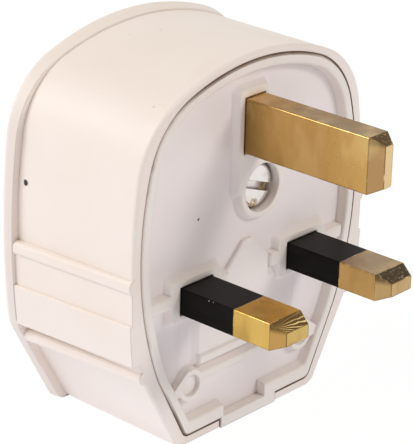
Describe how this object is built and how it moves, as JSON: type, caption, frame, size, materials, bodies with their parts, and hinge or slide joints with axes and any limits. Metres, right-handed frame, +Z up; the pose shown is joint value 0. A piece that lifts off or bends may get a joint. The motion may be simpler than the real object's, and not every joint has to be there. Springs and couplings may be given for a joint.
{
  "type": "uk three pin plug",
  "caption": "Rewireable fused mains plug with rectangular brass pins, black pin sleeves and a deep cream cover with finger grips round a recessed white base.",
  "frame": {"origin": "midway between the line and neutral pins, on the plane of the base's lip, which meets the socket", "axes": "+X to the right as seen from the pins, +Y from the socket face into the plug, +Z up towards the earth pin"},
  "size_m": [0.05, 0.0479, 0.0555],
  "materials": {
    "cover_cream": "semi-gloss moulded thermoset",
    "base_white": "semi-gloss moulded thermoset",
    "pin_brass": "drawn and lightly tarnished",
    "sleeve_black": "satin",
    "plated_steel": "nickel plated",
    "clip_bronze": "sprung sheet",
    "fuse_ceramic": "glazed",
    "fuse_metal": "plated cap",
    "grip_fibre": "pressed fibre"
  },
  "bodies": {
    "root": {"base_moulding": "base_white", "cover_moulding": "cover_cream", "earth_pin": "pin_brass", "line_pin": "pin_brass", "neutral_pin": "pin_brass", "line_pin_sleeve": "sleeve_black", "neutral_pin_sleeve": "sleeve_black", "earth_terminal_screw": "plated_steel", "neutral_terminal_screw": "plated_steel", "line_terminal": "pin_brass", "line_terminal_screw": "plated_steel", "line_pin_fuse_clip": "clip_bronze", "line_terminal_fuse_clip": "clip_bronze", "fuse_body": "fuse_ceramic", "fuse_cap_lower": "fuse_metal", "fuse_cap_upper": "fuse_metal", "cord_grip_bar": "grip_fibre", "cord_grip_screws": "plated_steel", "cover_screw": "plated_steel", "cover_screw_washer": "grip_fibre", "cover_insert": "pin_brass"}
  },
  "joints": []
}
